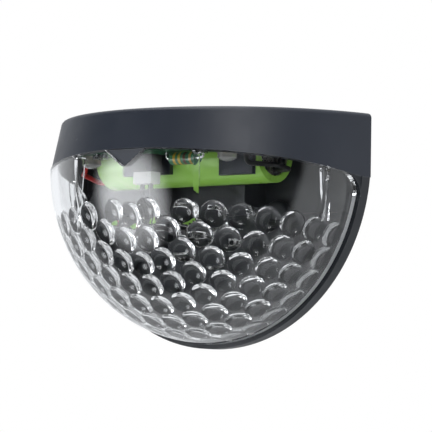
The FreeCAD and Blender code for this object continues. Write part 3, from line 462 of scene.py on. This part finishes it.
def top_cut():
    """All that lies above the parting line, which is rounded down at the rear corners."""
    front = -(BACK + LENS_DEPTH) - BEYOND
    reach = LENS_RADIUS + BEYOND
    tilt = math.atan(SLOPE)
    back = BACK + CORNER
    level = parting(back) - CORNER / math.cos(tilt)
    corner = [(-back + CORNER * math.sin(a), level + CORNER * math.cos(a))
              for a in np.linspace(tilt, math.pi / 2, CORNER_STEPS)]
    outline = [(BEHIND, reach), (front, reach), (front, parting(-front)), *corner, (BEHIND, level)]
    return prism("lens_top", outline, -reach, reach, lambda a, b, level: (level, a, b))


def notch_cut():
    """Gap in the lens for the V tab, with a rounded tip."""
    front = -(BACK + LENS_DEPTH)
    top = FRONT_RISE + BEYOND
    tip = FRONT_RISE - TAB_DROP - NOTCH_GAP
    slope = math.atan((TAB_DROP + FRONT_RISE + BEYOND) / TAB_REACH)
    tip_arc = [(TAB_ROUND * math.sin(a), tip + TAB_ROUND - TAB_ROUND * math.cos(a))
               for a in np.linspace(-slope, slope, TIP_STEPS)]
    end, level = tip_arc[-1]
    reach = end + (top - level) / math.tan(slope)
    outline = tip_arc + [(reach, top), (-reach, top)]
    return prism("lens_notch", outline, front - NOTCH_DEEP, front + NOTCH_DEEP,
                 lambda a, b, level: (a, level, b))


def lens_piece():
    """The lens that is shown: the shell with its ribs, cut at the parting line and notched, with pegs."""
    obj = show("lens_shell", shell_mesh())
    angles = [side * math.radians(angle) for side in (-1, 1) for angle in RIB_ANGLES]
    tools = [("UNION", rib("lens_rib", angle, RIB_ENDS)) for angle in reversed(angles)]
    tools += [("DIFFERENCE", top_cut()), ("DIFFERENCE", notch_cut())]
    tools += [("UNION", rib("lens_peg", angle, PEG_ENDS)) for angle in angles]
    for way, tool in tools:
        step = obj.modifiers.new("cut", "BOOLEAN")
        step.operation = way
        step.solver = "MANIFOLD"
        step.object = tool
    bpy.context.view_layer.update()
    mesh = bpy.data.meshes.new_from_object(obj.evaluated_get(bpy.context.evaluated_depsgraph_get()))
    obj.modifiers.clear()
    obj.data = mesh
    for _, tool in tools:
        bpy.data.objects.remove(tool)
    smooth(mesh, LENS_SHARP)
    mesh.materials.clear()
    mesh.materials.append(looks["clear_lens"].mat)
    mesh.materials.append(looks["lens_rim_painted_highlight"].mat)
    # rim faces that look back at the tray take the pale painted highlight
    for face in mesh.polygons:
        if face.normal.y > RIM_FACING and face.center.y > -(BACK + 2 * RIM_GAP) * MM:
            face.material_index = 1
    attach(obj, "light")
    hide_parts("lens")


lens_piece()

# ---------------------------------------------------------------- keyhole cups, in mm
KEYHOLE_REACH, KEYHOLE_DROP, KEYHOLE_TRAVEL = 20.0, 18.0, 6.0
CUP_HEAD, CUP_NECK = 5.2, 3.2
CUP_STEPS = 72
# outside from the hole's edge on the tray's inner face to the crown, and inside down to the floor of
# the cup: inset from the head and neck radius, and distance from the wall face
CUP_OUTSIDE = ((1.0, 2.2), (0.0, 2.2), (0.0, 4.5), (0.15, 4.9), (0.45, 5.2), (0.9, 5.3))
CUP_INSIDE = ((1.0, 4.2), (1.2, 4.4))


def keyhole_cup(name, x):
    """Closed blister on the inside of the tray that takes the head of a wall screw."""

    def loop(inset, y):
        """Outline round the circles of head and neck and the lines that touch both."""
        for step in range(CUP_STEPS):
            angle = 2 * math.pi * step / CUP_STEPS
            on_neck = math.sin(angle) > (CUP_HEAD - CUP_NECK) / KEYHOLE_TRAVEL
            radius = (CUP_NECK if on_neck else CUP_HEAD) - inset
            level = -KEYHOLE_DROP + (KEYHOLE_TRAVEL if on_neck else 0)
            yield x + radius * math.cos(angle), -y, level + radius * math.sin(angle)

    loops = CUP_OUTSIDE + CUP_INSIDE
    verts = [point for inset, y in loops for point in loop(inset, y)]
    rings = [list(range(k * CUP_STEPS, (k + 1) * CUP_STEPS)) for k in range(len(loops))]
    outside = rings[:len(CUP_OUTSIDE)]
    inside = rings[:1] + rings[len(CUP_OUTSIDE):]
    faces = []
    for side in (outside, inside):
        for low, high in zip(side, side[1:]):
            for i in range(CUP_STEPS):
                j = (i + 1) % CUP_STEPS
                faces.append((low[i], low[j], high[j], high[i]))
    faces += [outside[-1], inside[-1]]
    obj = closed(name, verts, faces)
    smooth(obj.data, CUP_SHARP)
    obj.data.materials.append(looks["tray_plastic"].mat)
    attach(obj, "light")


keyhole_cup("keyhole_cup_left", -KEYHOLE_REACH)
keyhole_cup("keyhole_cup_right", KEYHOLE_REACH)


# ---------------------------------------------------------------- camera
def camera():
    """Camera turned so that the picture's middle lies where the photo's does."""
    right = CAMERA_RIGHT * math.cos(ROLL) - CAMERA_UP * math.sin(ROLL)
    up = CAMERA_RIGHT * math.sin(ROLL) + CAMERA_UP * math.cos(ROLL)
    across = (PHOTO / 2 - CENTRE[0]) / FOCAL_PX
    down = (PHOTO / 2 - CENTRE[1]) / FOCAL_PX
    ahead = (CAMERA_AHEAD + right * across - up * down).normalized()
    right = ahead.cross(up).normalized()
    up = right.cross(ahead)
    data = bpy.data.cameras.new("camera")
    data.sensor_width = SENSOR
    data.lens = FOCAL_PX / PHOTO * SENSOR
    data.clip_start = CLIP_START
    cam = show("camera", data)
    cam.matrix_world = Matrix.Translation(CAMERA_PLACE) @ Matrix((right, up, -ahead)).transposed().to_4x4()
    bpy.context.scene.camera = cam


camera()


# ---------------------------------------------------------------- floor, world and lamps
def studio(tree, way):
    """Strength of the studio in a direction: white behind, dark in front, softboxes in the dark."""
    axes = node(tree, "ShaderNodeSeparateXYZ")
    tree.links.new(way, axes.inputs[0])
    wall = map_range(tree, axes.outputs["Y"], *WALL_FADE, DARK, WHITE, "SMOOTHSTEP")
    overhead = map_range(tree, axes.outputs["Z"], *OVERHEAD_FADE, 0.0, OVERHEAD, "SMOOTHSTEP")
    total = math_node(tree, "ADD", wall, overhead)
    for direction, start, end, strength in BOXES:
        toward = node(tree, "ShaderNodeVectorMath", operation="DOT_PRODUCT")
        toward.inputs[1].default_value = Vector(direction).normalized()
        tree.links.new(way, toward.inputs[0])
        box = map_range(tree, toward.outputs["Value"], start, end, 0.0, strength, "SMOOTHSTEP")
        total = math_node(tree, "ADD", total, box)
    return total


def add_floor():
    """White floor that clear and glossy surfaces see as the studio, until light meets a matt surface."""
    corners = [(x, y, FLOOR_LEVEL) for x, y in ((-1, -1), (1, -1), (1, 1), (-1, 1))]
    mesh = bpy.data.meshes.new("floor")
    mesh.from_pydata([(x * FLOOR_HALF, y * FLOOR_HALF, z) for x, y, z in corners], [], [(0, 1, 2, 3)])
    floor = show("floor", mesh)
    look = moulded("floor", (0.86, 0.86, 0.86), (0.88, 0.88, 0.88),
                   rough=(0.7, 0.8), grain=50.0, depth=0.0001)
    mesh.materials.append(look.mat)
    path = look.add("ShaderNodeLightPath")
    seen = math_node(look.tree, "MAXIMUM", path.outputs["Is Transmission Ray"], path.outputs["Is Glossy Ray"])
    clean = math_node(look.tree, "LESS_THAN", path.outputs["Diffuse Depth"], 0.5)
    offset = look.add("ShaderNodeVectorMath", operation="SUBTRACT")
    look.link(look.place, offset.inputs[0])
    offset.inputs[1].default_value = LIT_SPOT
    way = look.add("ShaderNodeVectorMath", operation="NORMALIZE")
    look.link(offset.outputs[0], way.inputs[0])
    glow = look.add("ShaderNodeEmission")
    glow.inputs["Color"].default_value = (*STUDIO_TINT, 1)
    look.link(studio(look.tree, way.outputs[0]), glow.inputs["Strength"])
    pick = look.add("ShaderNodeMixShader")
    look.link(math_node(look.tree, "MULTIPLY", seen, clean), pick.inputs[0])
    look.link(look.shader.outputs[0], pick.inputs[1])
    look.link(glow.outputs[0], pick.inputs[2])
    look.link(pick.outputs[0], look.tree.nodes["Material Output"].inputs["Surface"])


def add_world():
    """Plain white for the camera, the studio for other rays, and an even light behind matt surfaces."""
    world = bpy.data.worlds.new("studio")
    bpy.context.scene.world = world
    world.use_nodes = True
    tree = world.node_tree
    lit = tree.nodes["Background"]
    lit.inputs["Color"].default_value = (*STUDIO_TINT, 1)
    path = node(tree, "ShaderNodeLightPath")
    soft = node(tree, "ShaderNodeMix")
    tree.links.new(math_node(tree, "GREATER_THAN", path.outputs["Diffuse Depth"], 0.5), soft.inputs[0])
    tree.links.new(studio(tree, node(tree, "ShaderNodeTexCoord").outputs["Generated"]), soft.inputs[2])
    soft.inputs[3].default_value = PLAIN
    tree.links.new(soft.outputs[0], lit.inputs["Strength"])
    white = node(tree, "ShaderNodeBackground")
    white.inputs["Color"].default_value = (1, 1, 1, 1)
    white.inputs["Strength"].default_value = 1.0
    choose = node(tree, "ShaderNodeMixShader")
    tree.links.new(path.outputs["Is Camera Ray"], choose.inputs[0])
    tree.links.new(lit.outputs[0], choose.inputs[1])
    tree.links.new(white.outputs[0], choose.inputs[2])
    tree.links.new(choose.outputs[0], tree.nodes["World Output"].inputs["Surface"])


def lamp(name, place, size, power):
    """Rectangular lamp that looks at the origin."""
    data = bpy.data.lights.new(name, "AREA")
    data.shape = "RECTANGLE"
    data.size, data.size_y = size
    data.energy = power
    obj = show(name, data)
    obj.location = place
    obj.rotation_euler = (-Vector(place)).to_track_quat("-Z", "Y").to_euler()


add_floor()
add_world()
lamp("key", (0.5, -0.75, 0.7), (0.4, 0.4), 4.0)
lamp("top", (-0.1, -0.2, 0.8), (0.6, 0.5), 4.0)

bpy.context.scene.view_settings.view_transform = "Standard"
cycles = bpy.context.scene.cycles
cycles.max_bounces = cycles.glossy_bounces = cycles.transmission_bounces = BOUNCES
